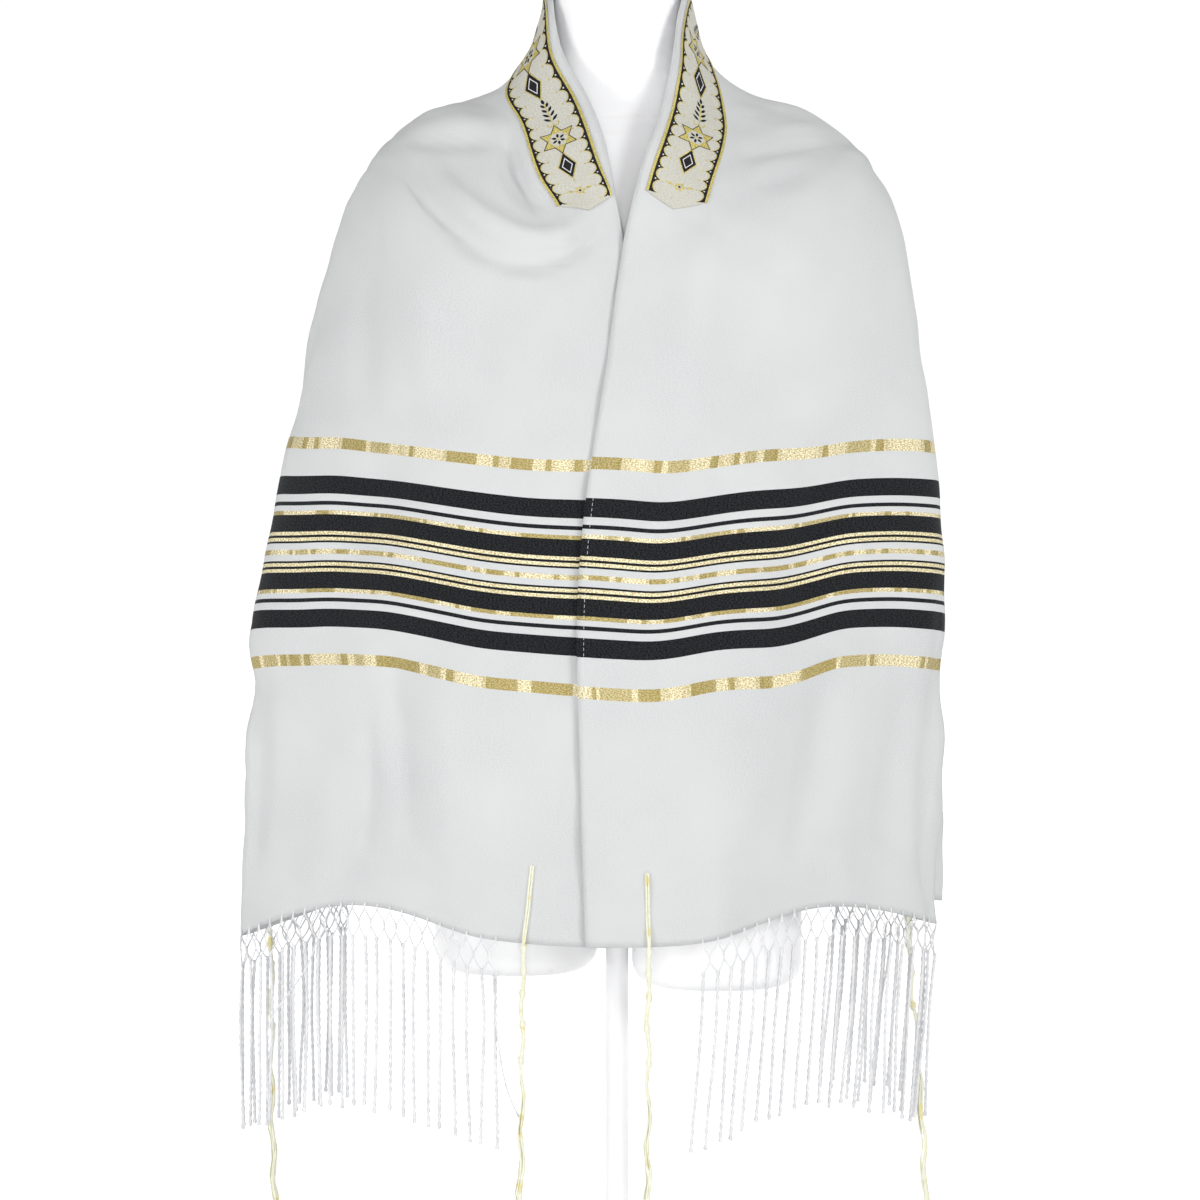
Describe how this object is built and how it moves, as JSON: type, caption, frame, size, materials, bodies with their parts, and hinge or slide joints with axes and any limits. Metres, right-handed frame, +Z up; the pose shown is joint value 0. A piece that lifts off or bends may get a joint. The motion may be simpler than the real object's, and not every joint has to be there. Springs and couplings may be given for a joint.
{
  "type": "tallit prayer shawl on a limbless torso form",
  "caption": "Striped white prayer shawl with neckband, knotted fringe and corner tassels, draped like a cape on a limbless torso form with a round-based stand.",
  "frame": {"origin": "centre of the stand's underside, on the axis of its pole", "axes": "+Z up, -Y the way the shawl's front faces, +X to the right of someone looking at that front"},
  "size_m": [0.6198, 0.3023, 1.275],
  "materials": {
    "shawl_cloth": "fine woven off-white cloth with black and gold stripes",
    "neckband_brocade": "ivory brocade with gold and black figuring",
    "fringe_yarn": "twisted white yarn",
    "tassel_yarn": "twisted wool, cream dyed yellow in places",
    "form_plastic": "glossy white",
    "stand_paint": "satin white"
  },
  "bodies": {
    "root": {"shawl": "shawl_cloth", "neckband": "neckband_brocade", "fringe_left": "fringe_yarn", "fringe_right": "fringe_yarn", "tassel_left_inner": "tassel_yarn", "tassel_left_outer": "tassel_yarn", "tassel_right_inner": "tassel_yarn", "tassel_right_outer": "tassel_yarn", "dress_form": "form_plastic", "stand_pole": "stand_paint", "stand_base": "stand_paint"}
  },
  "joints": []
}
